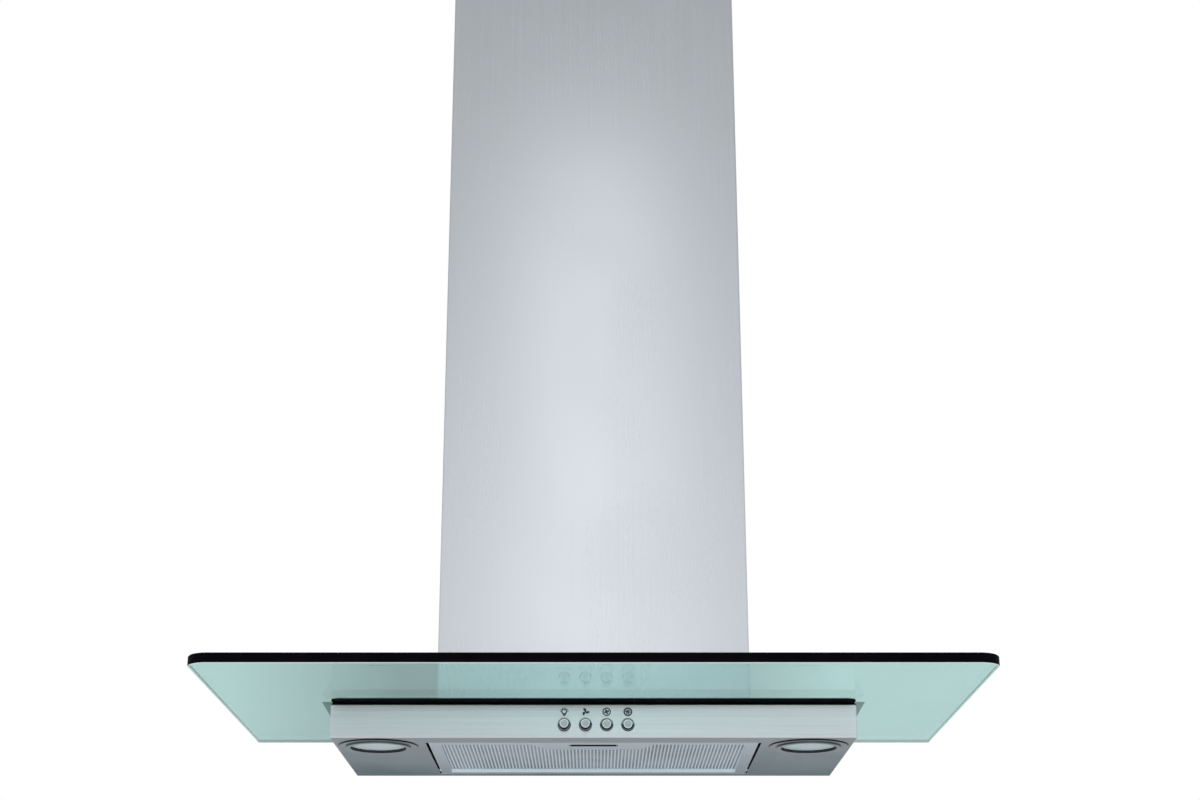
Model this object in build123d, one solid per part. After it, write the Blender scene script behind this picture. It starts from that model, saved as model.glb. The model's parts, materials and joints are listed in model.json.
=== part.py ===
"""Wall-mounted range hood with a flat glass canopy, a slim steel body and a telescopic chimney.

Frame: millimetres, +Z up, wall on the plane Y = 0, front towards -Y, X = 0 on the centre line.
The origin is the centre of the four wall holes in the back of the blower box.
"""
import os
from math import acos, cos, degrees, radians, sin

from build123d import *

# Glass canopy
GLASS_W = 898.0
GLASS_T = 12.0
GLASS_OVERHANG = 216.0
GLASS_CORNER_R = 25.0
GLASS_CHAMFER = 1.2
NOTCH_CORNER_R = 8.0

# Folded steel body under the glass
SHEET = 0.8
BEND_R = 1.6
BODY_W = 630.0
BODY_D = 284.0
BODY_H = 39.2
FLANGE = 28.0
PLATE_T = 0.8
GASKET_T = 4.0
GASKET_W = 12.0
GASKET_INSET = 1.5
GASKET_LIP = 20.0
GASKET_LIP_T = 1.2
GASKET_LIP_R = 12.0
LIP_W = 11.0
LIP_H = 18.0
LIP_L = 30.0
LIP_SETBACK = 2.0

# Chimney covers
CHIMNEY_W = 382.0
CHIMNEY_SETBACK = 34.0
LOWER_H = 1012.0
UPPER_H = 700.0
UPPER_SHOW = 22.0
SLIDE_GAP = 0.6
RETURN_W = 15.0
VENT_COUNT = 6
VENT_PITCH = 13.0
VENT_W = 5.0
VENT_L = 110.0
VENT_DROP = 45.0

# Wall fixings
GLASS_DROP = 180.0
WALL_HOLE_DX = 260.0
WALL_HOLE_DZ = 160.0
WALL_HOLE_R = 3.25
BRACKET_T = 1.5
BRACKET_H = 18.0
BRACKET_SLOT_DX = 200.0
BRACKET_SLOT_L = 14.0
BRACKET_SLOT_R = 3.25
BRACKET_PAD_R = 8.5
EAR_L = 40.0

# Blower box, scroll and wheel
BOX_GAP = 22.0
BOX_FLANGE = 9.0
NOTCH_GAP = 4.0
PLENUM_H = 30.0
OUTLET_RISE = 96.0
WHEEL_R = 66.0
WHEEL_L = 120.0
WHEEL_RIM = 2.0
BLADE_COUNT = 28
BLADE_DEPTH = 12.0
BLADE_T = 1.0
BLADE_SWEEP = 5.0
BLADE_CURVE_R = 11.0
SCROLL_GAP = 10.0
SCROLL_STEP = 8.0
SCROLL_T = 1.6
SCROLL_SIDE_GAP = 13.0
SCROLL_BACK_GAP = 8.0
INLET_R = 50.0
INLET_LIP = 6.0
MOTOR_R = 38.0
MOTOR_L = 56.0
MOTOR_BOSS_R = 12.0
MOTOR_BOSS_L = 5.0
MOUNT_T = 2.0
MOUNT_RIM = 12.0
MOUNT_ARM_W = 14.0
MOUNT_HUB_R = 30.0
SHAFT_R = 4.0
HUB_R = 10.0
HUB_L = 18.0
RUNNING_GAP = 0.05
CAPACITOR_R = 15.0
CAPACITOR_L = 58.0
TERMINAL_W = 62.0
TERMINAL_D = 80.0
TERMINAL_H = 34.0
GLAND_R = 9.0
GLAND_L = 14.0
GLAND_BORE_R = 4.5

# Duct collar and its two draught flaps
COLLAR_R = 75.0
COLLAR_T = 1.5
COLLAR_H = 45.0
COLLAR_FLANGE = 9.0
FLAP_Z = 15.0
FLAP_T = 1.2
FLAP_GAP = 1.5
FLAP_PIN_R = 2.0
KNUCKLE_R = 3.5
KNUCKLE_L = 26.0
KNUCKLE_GAP = 0.7
STOP_W = 10.0
STOP_H = 3.0
STOP_GAP = 0.1

# Lamps
LAMP_R = 48.5
LAMP_EDGE = 4.5
RING_EDGE_T = 1.6
RING_STEP_R = 39.5
RING_STEP_T = 3.4
RING_SLEEVE_T = 2.0
RING_SLEEVE_H = 12.0
LENS_VIEW_R = 34.0
LENS_SEAT = 2.5
LENS_T = 2.5
CUP_T = 0.8
CUP_H = 22.0
CUP_TOP_R = 12.0
SOCKET_R = 8.0
SOCKET_H = 6.0
CAPSULE_R = 4.5
CAPSULE_L = 13.0
FIT_GAP = 0.3
TRANSFORMER_W = 40.0
TRANSFORMER_L = 90.0
TRANSFORMER_H = 24.0

# Push buttons and their switch block
BUTTON_COUNT = 4
BUTTON_PITCH = 25.4
BUTTON_SHIFT = 3.0
BUTTON_R = 6.0
BUTTON_GAP = 0.4
BUTTON_RISE = 16.0
BUTTON_OUT = 10.0
BUTTON_IN = 6.0
BUTTON_TAIL = 5.2
BUTTON_EDGE = 1.0
STEM_R = 3.0
STEM_L = 13.0
SWITCH_D = 28.0
SWITCH_H = 22.0
SWITCH_END = 14.0
SWITCH_POCKET = 12.0

# Grease filter, its hinge and its latch
FRONT_STRIP = 34.0
REAR_STRIP = 18.0
FILTER_LAMP_GAP = 13.5
FILTER_SIDE_GAP = 3.0
FILTER_FRONT_GAP = 1.0
FILTER_REAR_GAP = 2.0
FILTER_T = 9.0
FILTER_BAR = 14.0
FILTER_FRONT_BAR = 13.0
FILTER_GROOVE = 4.0
FILTER_FACE_T = 1.6
FILTER_RECESS = 3.6
RIB_PITCH = 4.4
RIB_H = 2.0
RIB_SHEET = 0.6
HINGE_R = 3.0
HINGE_INSET = 6.0
HINGE_RISE = 5.0
HINGE_L = 7.5
HINGE_EYE = 7.0
HINGE_EYE_T = 1.5
HINGE_EYE_GAP = 2.0
LATCH_W = 56.0
LATCH_L = 18.0
LATCH_T = 3.0
LATCH_TRAVEL = 6.0
LATCH_WALL = 1.0
LATCH_TONGUE_W = 40.0
LATCH_TONGUE_OUT = 0.6
LATCH_GRIP_L = 6.0
LATCH_GRIP_D = 2.0
SLIT_W = 60.0
SLIT_L = 12.0
SLIT_SETBACK = 14.0
PLATE_REAR_W = 116.0
PLATE_FRONT_W = 150.0
PLATE_L = 36.0
PLATE_R = 10.0
PLATE_RECESS = 0.4

# Glass clamps and screws
CLAMP_L = 22.0
CLAMP_T = 1.5
CLAMP_RISE = 26.0
SCREW_R = 2.0
SCREW_HEAD_R = 3.6
SCREW_HEAD_H = 2.0
SCREW_L = 6.0
SCREW_GAP = 0.1

# Levels, worked out upwards and downwards from the underside of the glass
Z_GLASS = -GLASS_DROP
Z_GLASS_TOP = Z_GLASS + GLASS_T
Z_PLATE_TOP = Z_GLASS - GASKET_T
Z_SHELL_TOP = Z_PLATE_TOP - PLATE_T
Z_UNDER = Z_SHELL_TOP - BODY_H
Z_FLOOR = Z_UNDER + SHEET
Z_LOWER_TOP = Z_GLASS_TOP + LOWER_H
Z_UPPER_TOP = Z_LOWER_TOP + UPPER_SHOW

# Plan sizes
GLASS_D = BODY_D + GLASS_OVERHANG
CHIMNEY_D = BODY_D - CHIMNEY_SETBACK
UPPER_INSET = SHEET + SLIDE_GAP
BOX_W = CHIMNEY_W - 2 * BOX_GAP
BOX_D = CHIMNEY_D - BOX_GAP
NOTCH_W = BOX_W + 2 * (BOX_FLANGE + NOTCH_GAP)
NOTCH_D = BOX_D + BOX_FLANGE + NOTCH_GAP

# Scroll: three quarter arcs that widen by one step each, then the upright outlet
SCROLL_R1 = WHEEL_R + SCROLL_GAP
SCROLL_R2 = SCROLL_R1 + SCROLL_STEP
SCROLL_R3 = SCROLL_R2 + SCROLL_STEP
SCROLL_HALF_W = WHEEL_L / 2 + SCROLL_SIDE_GAP + SCROLL_T
WHEEL_Y = -(SHEET + SCROLL_BACK_GAP + SCROLL_T + SCROLL_R1)
WHEEL_Z = Z_PLATE_TOP + PLENUM_H + SCROLL_T + SCROLL_R2
Z_BOX_TOP = WHEEL_Z + SCROLL_R1 + OUTLET_RISE
OUTLET_W = SCROLL_STEP + SCROLL_R3
COLLAR_Y = WHEEL_Y - OUTLET_W / 2
Z_FLAP = Z_BOX_TOP + FLAP_Z

# Lamps and filter
LAMP_X = BODY_W / 2 - LAMP_EDGE - LAMP_R
LAMP_Y = -(BODY_D - LAMP_EDGE - LAMP_R)
FILTER_W = 2 * (LAMP_X - LAMP_R - FILTER_LAMP_GAP)
FILTER_Y0 = -(BODY_D - FRONT_STRIP)
FILTER_Y1 = -REAR_STRIP
HINGE_Y = FILTER_Y1 - HINGE_INSET
HINGE_Z = Z_UNDER + HINGE_RISE

# Buttons
BUTTON_Z = Z_UNDER + BUTTON_RISE
BUTTON_BACK_Y = -(BODY_D - SHEET)


def block(x0, x1, y0, y1, z0, z1):
    """Rectangular solid between two corners."""
    return Pos((x0 + x1) / 2, (y0 + y1) / 2, (z0 + z1) / 2) * Box(x1 - x0, y1 - y0, z1 - z0)


def wide_block(width, y0, y1, z0, z1):
    """Rectangular solid centred on X = 0."""
    return block(-width / 2, width / 2, y0, y1, z0, z1)


def rod_x(radius, x0, x1, y, z):
    """Cylinder along X."""
    return Pos((x0 + x1) / 2, y, z) * Rot(0, 90, 0) * Cylinder(radius, x1 - x0)


def rod_y(radius, x, y0, y1, z):
    """Cylinder along Y."""
    return Pos(x, (y0 + y1) / 2, z) * Rot(90, 0, 0) * Cylinder(radius, y1 - y0)


def rod_z(radius, x, y, z0, z1):
    """Cylinder along Z."""
    return Pos(x, y, (z0 + z1) / 2) * Cylinder(radius, z1 - z0)


def turned(points, x, y):
    """Solid of revolution about a vertical axis from (radius, height) points."""
    profile = Plane.XZ * make_face(Polyline(*points, close=True))
    return Pos(x, y, 0) * revolve(profile, Axis.Z)


def screw(length):
    """Pan-head screw with its head above Z = 0 and its shank below."""
    head = fillet(rod_z(SCREW_HEAD_R, 0, 0, 0, SCREW_HEAD_H).edges().group_by(Axis.Z)[-1], SCREW_HEAD_H * 0.45)
    return head + rod_z(SCREW_R, 0, 0, -length, 0)


# Glass canopy and its support

def glass_canopy():
    """Toughened plate with rounded front corners, eased edges and a notch for the blower box."""
    plate = wide_block(GLASS_W, -GLASS_D, 0, Z_GLASS, Z_GLASS_TOP)
    plate = fillet(plate.edges().filter_by(Axis.Z).group_by(Axis.Y)[0], GLASS_CORNER_R)
    rims = plate.edges().group_by(Axis.Z)
    plate = chamfer(rims[0] + rims[-1], GLASS_CHAMFER)
    notch = wide_block(NOTCH_W, -NOTCH_D, GLASS_T, Z_GLASS - GLASS_T, Z_GLASS_TOP + GLASS_T)
    notch = fillet(notch.edges().filter_by(Axis.Z).group_by(Axis.Y)[0], NOTCH_CORNER_R)
    return plate - notch


def glass_gasket():
    """Rubber strip under the glass along the front and both sides of the body, with a thin lip forward of the panel."""
    width = BODY_W - 2 * GASKET_INSET
    outer = wide_block(width, -(BODY_D - GASKET_INSET), -GASKET_INSET, Z_PLATE_TOP, Z_GLASS)
    inset = GASKET_INSET + GASKET_W
    strip = outer - wide_block(BODY_W - 2 * inset, -(BODY_D - inset), GASKET_W, Z_PLATE_TOP - 1, Z_GLASS + 1)
    lip = wide_block(width, -(BODY_D + GASKET_LIP), -(BODY_D - inset), Z_GLASS - GASKET_LIP_T, Z_GLASS)
    return strip + fillet(lip.edges().filter_by(Axis.Z).group_by(Axis.Y)[0], GASKET_LIP_R)


def support_lip(side):
    """Steel wedge that carries the glass beside the body, just behind its front corner."""
    root = side * BODY_W / 2
    outline = Polyline((root, Z_GLASS), (root + side * LIP_W, Z_GLASS), (root, Z_GLASS - LIP_H), close=True)
    wedge = extrude(Plane.XZ * make_face(outline), LIP_L)
    return Pos(0, -(BODY_D - LIP_SETBACK - LIP_L), 0) * wedge


def clamp_places():
    """Y of the two clamps on each side of the blower box."""
    return [-BOX_D * 0.25, -BOX_D * 0.75]


def glass_clamps():
    """Angle pieces that hold the glass down at the sides of its notch."""
    group = Part()
    wall = BOX_W / 2
    reach = CHIMNEY_W / 2 - UPPER_INSET - SHEET - FIT_GAP
    for side in (-1, 1):
        for y in clamp_places():
            ends = sorted((side * wall, side * (wall + CLAMP_T)))
            leg = block(*ends, y - CLAMP_L / 2, y + CLAMP_L / 2, Z_GLASS_TOP, Z_GLASS_TOP + CLAMP_RISE)
            tips = sorted((side * wall, side * reach))
            foot = block(*tips, y - CLAMP_L / 2, y + CLAMP_L / 2, Z_GLASS_TOP, Z_GLASS_TOP + CLAMP_T)
            hole = rod_x(SCREW_R + SCREW_GAP, ends[0] - 1, ends[1] + 1, y, Z_GLASS_TOP + CLAMP_RISE * 0.6)
            group += leg + foot - hole
    return group


def clamp_screws():
    """Screws that fix the glass clamps to the blower box."""
    group = Part()
    for side in (-1, 1):
        for y in clamp_places():
            place = Pos(side * (BOX_W / 2 + CLAMP_T), y, Z_GLASS_TOP + CLAMP_RISE * 0.6)
            group += place * Rot(0, 90 * side, 0) * screw(SCREW_L)
    return group


# Folded body

def plate_screw_places():
    """X and Y of the screws that hold the top plate to the body's flanges."""
    line = FLANGE - SCREW_HEAD_R - 1
    side, front = BODY_W / 2 - line, -(BODY_D - line)
    return [(x, y) for x in (-side, side) for y in (front, -line)] + [(-side / 2, front), (side / 2, front)]


def screw_holes(places, z):
    """Cutters for vertical screws through a sheet at height z."""
    return [rod_z(SCREW_R + SCREW_GAP, x, y, z - SCREW_L, z + SCREW_L) for x, y in places]


def tray(inset, bend):
    """Body block with bent lower and front edges, drawn in by the inset."""
    half = BODY_W / 2 - inset
    solid = block(-half, half, -(BODY_D - inset), -inset, Z_UNDER + inset, Z_SHELL_TOP - inset)
    front = solid.edges().group_by(Axis.Y)[0]
    low = solid.edges().group_by(Axis.Z)[0]
    bends = front.filter_by(Axis.Z) + low.filter_by(Axis.X).sort_by(Axis.Y)[:1] + low.filter_by(Axis.Y)
    return fillet(bends, bend)


def body_shell():
    """Folded tray with the filter opening, lamp holes, button holes and inward top flanges."""
    shell = tray(0, BEND_R) - tray(SHEET, BEND_R - SHEET)
    shell -= wide_block(BODY_W - 2 * FLANGE, -(BODY_D - FLANGE), -FLANGE, Z_SHELL_TOP - 2 * SHEET, Z_SHELL_TOP + 1)
    shell -= wide_block(FILTER_W + 2 * FILTER_SIDE_GAP, FILTER_Y0 - FILTER_FRONT_GAP, FILTER_Y1 + FILTER_REAR_GAP,
                        Z_UNDER - 1, Z_FLOOR + 1)
    sleeve = RING_STEP_R + FIT_GAP
    shell -= [rod_z(sleeve, side * LAMP_X, LAMP_Y, Z_UNDER - 1, Z_FLOOR + 1) for side in (-1, 1)]
    shell -= [rod_y(BUTTON_R + BUTTON_GAP, x, -BODY_D - 1, BUTTON_BACK_Y + 1, BUTTON_Z) for x in button_places()]
    return shell - screw_holes(plate_screw_places(), Z_SHELL_TOP)


def top_plate():
    """Galvanised plate on the body's flanges, open under the blower box."""
    plate = wide_block(BODY_W - 2 * SHEET, -(BODY_D - SHEET), -SHEET, Z_SHELL_TOP, Z_PLATE_TOP)
    plate -= wide_block(BOX_W - 2 * SHEET, -(BOX_D - SHEET), -FLANGE, Z_SHELL_TOP - 1, Z_PLATE_TOP + 1)
    return plate - screw_holes(plate_screw_places(), Z_PLATE_TOP)


def plate_screws():
    """Screws that hold the top plate to the body."""
    group = Part()
    for x, y in plate_screw_places():
        group += Pos(x, y, Z_PLATE_TOP) * screw(SCREW_L)
    return group


# Chimney covers

def cover(inset, z0, z1):
    """Three-sided sheet cover, open at the back between two inward returns."""
    half, depth = CHIMNEY_W / 2 - inset, CHIMNEY_D - inset
    outer = wide_block(2 * half, -depth, -inset, z0, z1)
    outer = fillet(outer.edges().filter_by(Axis.Z).group_by(Axis.Y)[0], BEND_R)
    inner = wide_block(2 * (half - SHEET), -(depth - SHEET), -inset - SHEET, z0 - 1, z1 + 1)
    inner = fillet(inner.edges().filter_by(Axis.Z).group_by(Axis.Y)[0], BEND_R - SHEET)
    return outer - inner - wide_block(2 * (half - RETURN_W), -inset - 2 * SHEET, 1, z0 - 1, z1 + 1)


def lower_chimney():
    """Outer cover, standing on the glass."""
    return cover(0, Z_GLASS_TOP, Z_LOWER_TOP)


def ear_screw_z():
    """Height of the side screws, above the rim of the lower cover."""
    return Z_UPPER_TOP - UPPER_SHOW / 2


def upper_chimney():
    """Inner cover that slides up out of the lower one, with vent slots in both sides."""
    inset = UPPER_INSET
    part = cover(inset, Z_UPPER_TOP - UPPER_H, Z_UPPER_TOP)
    slot = fillet(Box(4 * SHEET + CHIMNEY_W, VENT_L, VENT_W).edges().filter_by(Axis.X), VENT_W * 0.45)
    for row in range(VENT_COUNT):
        part -= Pos(0, -CHIMNEY_D / 2, Z_UPPER_TOP - VENT_DROP - row * VENT_PITCH) * slot
    return part - rod_x(SCREW_R + SCREW_GAP, -CHIMNEY_W, CHIMNEY_W, -inset - EAR_L / 2, ear_screw_z())


def ceiling_bracket():
    """Strip that screws to the wall near the ceiling, with two ears that hold the upper cover."""
    half = CHIMNEY_W / 2 - UPPER_INSET - SHEET
    back = -(UPPER_INSET + SHEET)
    z0 = ear_screw_z() - BRACKET_H / 2
    z1 = ear_screw_z() + BRACKET_H / 2
    strip = wide_block(2 * half, back - BRACKET_T, back, z0, z1)
    ear_hole = rod_x(SCREW_R + SCREW_GAP, -CHIMNEY_W, CHIMNEY_W, -UPPER_INSET - EAR_L / 2, ear_screw_z())
    for side in (-1, 1):
        ends = sorted((side * half, side * (half - BRACKET_T)))
        strip += block(*ends, back - EAR_L, back, z0, z1)
        strip += rod_y(BRACKET_PAD_R, side * BRACKET_SLOT_DX / 2, back, 0, ear_screw_z())
    slot = SlotOverall(BRACKET_SLOT_L, 2 * BRACKET_SLOT_R)
    cutter = extrude(Plane.XZ * slot, 2 * BRACKET_PAD_R, both=True)
    slots = [Pos(side * BRACKET_SLOT_DX / 2, 0, ear_screw_z()) * cutter for side in (-1, 1)]
    return strip - slots - ear_hole


def chimney_screws():
    """Side screws between the upper cover and the bracket's ears."""
    group = Part()
    for side in (-1, 1):
        place = Pos(side * (CHIMNEY_W / 2 - UPPER_INSET), -UPPER_INSET - EAR_L / 2, ear_screw_z())
        group += place * Rot(0, 90 * side, 0) * screw(SCREW_L)
    return group


# Blower box

def motor_box():
    """Galvanised box on the top plate, open below, with the wall holes and the outlet."""
    box = wide_block(BOX_W, -BOX_D, 0, Z_PLATE_TOP, Z_BOX_TOP)
    box += wide_block(BOX_W + 2 * BOX_FLANGE, -(BOX_D + BOX_FLANGE), -FLANGE, Z_PLATE_TOP, Z_PLATE_TOP + SHEET)
    box -= wide_block(BOX_W - 2 * SHEET, -(BOX_D - SHEET), -SHEET, Z_PLATE_TOP - 1, Z_BOX_TOP - SHEET)
    box -= rod_z(COLLAR_R - COLLAR_T, 0, COLLAR_Y, Z_BOX_TOP - 2 * SHEET, Z_BOX_TOP + 1)
    for x in (-WALL_HOLE_DX / 2, WALL_HOLE_DX / 2):
        for z in (-WALL_HOLE_DZ / 2, WALL_HOLE_DZ / 2):
            box -= rod_y(WALL_HOLE_R, x, -2 * SHEET, 1, z)
    for y in clamp_places():
        box -= rod_x(SCREW_R + SCREW_GAP, -BOX_W, BOX_W, y, Z_GLASS_TOP + CLAMP_RISE * 0.6)
    return box


def scroll_outline(grow, rise):
    """Closed outline of the scroll in Y and Z, moved outwards by a wall and carried up by a rise."""
    y, z, step = WHEEL_Y, WHEEL_Z, SCROLL_STEP
    r1, r2, r3 = SCROLL_R1 + grow, SCROLL_R2 + grow, SCROLL_R3 + grow
    front_y, tongue_y, top = y - step - r3, y + grow, Z_BOX_TOP - SHEET + rise
    tongue = acos(grow / r1)
    arcs = [
        CenterArc((y, z), r1, 0, degrees(tongue)),
        CenterArc((y - step, z), r2, 270, 90),
        CenterArc((y - step, z + step), r3, 180, 90),
    ]
    outlet = Polyline((front_y, z + step), (front_y, top), (tongue_y, top), (tongue_y, z + r1 * sin(tongue)))
    return make_face(arcs + outlet.edges())


def scroll_half(side):
    """One moulded half of the scroll: a side wall with its inlet lip, and half of the rim."""
    wall_x = SCROLL_HALF_W - SCROLL_T
    half = extrude(Plane.YZ * scroll_outline(SCROLL_T, 0), side * SCROLL_HALF_W)
    hollow = Plane.YZ.offset(-side * SCROLL_T) * scroll_outline(0, SCROLL_T)
    half -= extrude(hollow, side * SCROLL_HALF_W)
    lip_x = sorted((side * (wall_x - INLET_LIP), side * (wall_x + SCROLL_T / 2)))
    half += rod_x(INLET_R + SCROLL_T, *lip_x, WHEEL_Y, WHEEL_Z)
    return half - rod_x(INLET_R, *sorted((0, side * 2 * SCROLL_HALF_W)), WHEEL_Y, WHEEL_Z)


def motor_mount():
    """Three-armed plate across the left inlet that carries the motor."""
    x0, x1 = -SCROLL_HALF_W - MOUNT_T, -SCROLL_HALF_W
    outer = INLET_R + MOUNT_RIM
    plate = rod_x(outer, x0, x1, WHEEL_Y, WHEEL_Z) - rod_x(INLET_R, x0 - 1, x1 + 1, WHEEL_Y, WHEEL_Z)
    plate += rod_x(MOUNT_HUB_R, x0, x1, WHEEL_Y, WHEEL_Z)
    mid = (INLET_R + MOUNT_HUB_R) / 2
    arm = Pos((x0 + x1) / 2, 0, mid) * Box(MOUNT_T, MOUNT_ARM_W, INLET_R - MOUNT_HUB_R + MOUNT_RIM)
    for angle in (0, 120, 240):
        plate += Pos(0, WHEEL_Y, WHEEL_Z) * Rot(angle, 0, 0) * arm
    return plate


def fan_motor():
    """Motor inside the left half of the wheel, with a boss at its shaft end."""
    x0 = -SCROLL_HALF_W
    body = rod_x(MOTOR_R, x0, x0 + MOTOR_L, WHEEL_Y, WHEEL_Z)
    body = fillet(body.edges().group_by(Axis.X)[-1], MOTOR_R * 0.12)
    body += rod_x(MOTOR_BOSS_R, x0, x0 + MOTOR_L + MOTOR_BOSS_L, WHEEL_Y, WHEEL_Z)
    return body - rod_x(SHAFT_R + RUNNING_GAP, x0 + MOUNT_RIM, 0, WHEEL_Y, WHEEL_Z)


def motor_shaft():
    """Shaft from the motor to the far end of the wheel's hub."""
    return rod_x(SHAFT_R, -SCROLL_HALF_W + MOUNT_RIM + 1, HUB_L / 2, WHEEL_Y, WHEEL_Z)


def blade():
    """Cross-section of one forward-curved blade, drawn in the Y and Z of the wheel."""
    root, tip = WHEEL_R - BLADE_DEPTH, WHEEL_R - BLADE_T / 2
    sweep = radians(BLADE_SWEEP)
    line = RadiusArc((root, 0), (tip * cos(sweep), tip * sin(sweep)), BLADE_CURVE_R)
    return trace(line, BLADE_T)


def impeller():
    """Double-inlet wheel: blades between two end rings, with a web and a hub at mid length."""
    section = Sketch() + [loc * blade() for loc in PolarLocations(0, BLADE_COUNT)]
    wheel = extrude(section, WHEEL_L / 2, both=True)
    inner = WHEEL_R - BLADE_DEPTH - BLADE_T
    ring = Cylinder(WHEEL_R, WHEEL_RIM) - Cylinder(inner, WHEEL_RIM * 2)
    for end in (-1, 1):
        wheel += Pos(0, 0, end * (WHEEL_L - WHEEL_RIM) / 2) * ring
    wheel += Cylinder(WHEEL_R, WHEEL_RIM) + Cylinder(HUB_R, HUB_L)
    wheel -= Cylinder(SHAFT_R, HUB_L * 2)
    return Pos(0, WHEEL_Y, WHEEL_Z) * Rot(0, 90, 0) * wheel


def capacitor():
    """Motor capacitor on the left wall of the blower box, above the front of the scroll."""
    x0 = -(BOX_W / 2 - SHEET)
    y, z = -BOX_D / 2, Z_BOX_TOP - 3 * CAPACITOR_R
    can = rod_x(CAPACITOR_R, x0, x0 + CAPACITOR_L, y, z)
    return fillet(can.edges().group_by(Axis.X)[-1], CAPACITOR_R * 0.15)


def terminal_places():
    """Corner X and middle Y of the terminal box on top of the blower box."""
    return BOX_W / 2 - FIT_GAP - TERMINAL_W, COLLAR_Y


def terminal_box():
    """Closed mains connection box beside the duct collar."""
    x0, y = terminal_places()
    case = block(x0, x0 + TERMINAL_W, y - TERMINAL_D / 2, y + TERMINAL_D / 2, Z_BOX_TOP, Z_BOX_TOP + TERMINAL_H)
    case = fillet(case.edges().filter_by(Axis.Z), BEND_R * 2)
    return chamfer(case.edges().group_by(Axis.Z)[-1], BEND_R)


def cable_gland():
    """Screwed gland on the wall side of the terminal box."""
    x0, y = terminal_places()
    x, y0, z = x0 + TERMINAL_W / 2, y + TERMINAL_D / 2, Z_BOX_TOP + TERMINAL_H / 2
    nut = extrude(Plane.XZ * RegularPolygon(GLAND_R, 6), -GLAND_L * 0.5)
    nose = Pos(0, GLAND_L * 0.75, 0) * Rot(90, 0, 0) * Cone(GLAND_BORE_R + 1.5, GLAND_R * 0.8, GLAND_L * 0.5)
    return Pos(x, y0, z) * (nut + nose) - rod_y(GLAND_BORE_R, x, y0 + 1, y0 + 2 * GLAND_L, z)


# Duct collar and flaps

def outlet_collar():
    """Round duct collar with a fixing flange, pin holes and two stops for the flaps."""
    z0 = Z_BOX_TOP
    bore = COLLAR_R - COLLAR_T
    part = rod_z(COLLAR_R, 0, COLLAR_Y, z0, z0 + COLLAR_H)
    part += rod_z(COLLAR_R + COLLAR_FLANGE, 0, COLLAR_Y, z0, z0 + COLLAR_T)
    part -= rod_z(bore, 0, COLLAR_Y, z0 - 1, z0 + COLLAR_H + 1)
    part -= rod_x(FLAP_PIN_R + RUNNING_GAP, -COLLAR_R - 1, COLLAR_R + 1, COLLAR_Y, Z_FLAP)
    top = Z_FLAP - FLAP_T / 2 - STOP_GAP
    inner = bore - 2 * FLAP_GAP
    for side in (-1, 1):
        ends = sorted((COLLAR_Y + side * inner, COLLAR_Y + side * (COLLAR_R - COLLAR_T / 2)))
        part += wide_block(STOP_W, *ends, top - STOP_H, top)
    return part


def flap_pin():
    """Hinge pin across the collar, shared by both flaps."""
    half = COLLAR_R - COLLAR_T / 3
    return rod_x(FLAP_PIN_R, -half, half, COLLAR_Y, Z_FLAP)


def flap(side):
    """Half-round flap with its own two knuckles on the shared pin."""
    radius = COLLAR_R - COLLAR_T - FLAP_GAP
    edge = KNUCKLE_R + KNUCKLE_GAP
    disc = rod_z(radius, 0, 0, -FLAP_T / 2, FLAP_T / 2)
    leaf = disc & block(-radius, radius, edge, radius, -FLAP_T, FLAP_T)
    for slot in (-1.5, 0.5):
        x0 = slot * (KNUCKLE_L + FLAP_GAP) - KNUCKLE_L / 2
        leaf += rod_x(KNUCKLE_R, x0, x0 + KNUCKLE_L, 0, 0)
        leaf += block(x0, x0 + KNUCKLE_L, 0, edge + 1, -FLAP_T / 2, FLAP_T / 2)
    leaf -= rod_x(FLAP_PIN_R + RUNNING_GAP, -radius, radius, 0, 0)
    turn = 0 if side > 0 else 180
    return Pos(0, COLLAR_Y, Z_FLAP) * Rot(0, 0, turn) * leaf


# Lamps

def lamp_ring(side):
    """Stepped trim ring with a sleeve through the body's floor."""
    inner = RING_STEP_R - RING_SLEEVE_T
    seat = Z_UNDER
    points = [
        (LENS_VIEW_R, Z_UNDER - RING_STEP_T), (RING_STEP_R, Z_UNDER - RING_STEP_T),
        (RING_STEP_R, Z_UNDER - RING_EDGE_T), (LAMP_R - RING_EDGE_T / 2, Z_UNDER - RING_EDGE_T),
        (LAMP_R, Z_UNDER - RING_EDGE_T / 2), (LAMP_R, Z_UNDER), (RING_STEP_R, Z_UNDER),
        (RING_STEP_R, Z_UNDER + RING_SLEEVE_H), (inner, Z_UNDER + RING_SLEEVE_H),
        (inner, seat), (LENS_VIEW_R, seat),
    ]
    return turned(points, side * LAMP_X, LAMP_Y)


def lamp_lens(side):
    """Frosted lens on the ring's inner ledge."""
    return rod_z(LENS_VIEW_R + LENS_SEAT, side * LAMP_X, LAMP_Y, Z_UNDER, Z_UNDER + LENS_T)


def lamp_cup(side):
    """Thin conical reflector that stands on the lens."""
    base = Z_UNDER + LENS_T
    rim = LENS_VIEW_R + LENS_SEAT
    points = [
        (rim - 2 * CUP_T, base), (rim, base), (rim, base + CUP_T), (CUP_TOP_R + CUP_T, base + CUP_H),
        (SOCKET_R, base + CUP_H), (SOCKET_R, base + CUP_H - CUP_T), (CUP_TOP_R, base + CUP_H - CUP_T),
    ]
    return turned(points, side * LAMP_X, LAMP_Y)


def lamp_bulb(side):
    """Halogen capsule and its ceramic holder, set in the top of the reflector."""
    x, z = side * LAMP_X, Z_UNDER + LENS_T + CUP_H
    holder = rod_z(SOCKET_R + 2, x, LAMP_Y, z, z + SOCKET_H)
    capsule = rod_z(CAPSULE_R, x, LAMP_Y, z - CAPSULE_L, z)
    return holder + fillet(capsule.edges().group_by(Axis.Z)[0], CAPSULE_R * 0.8)


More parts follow.
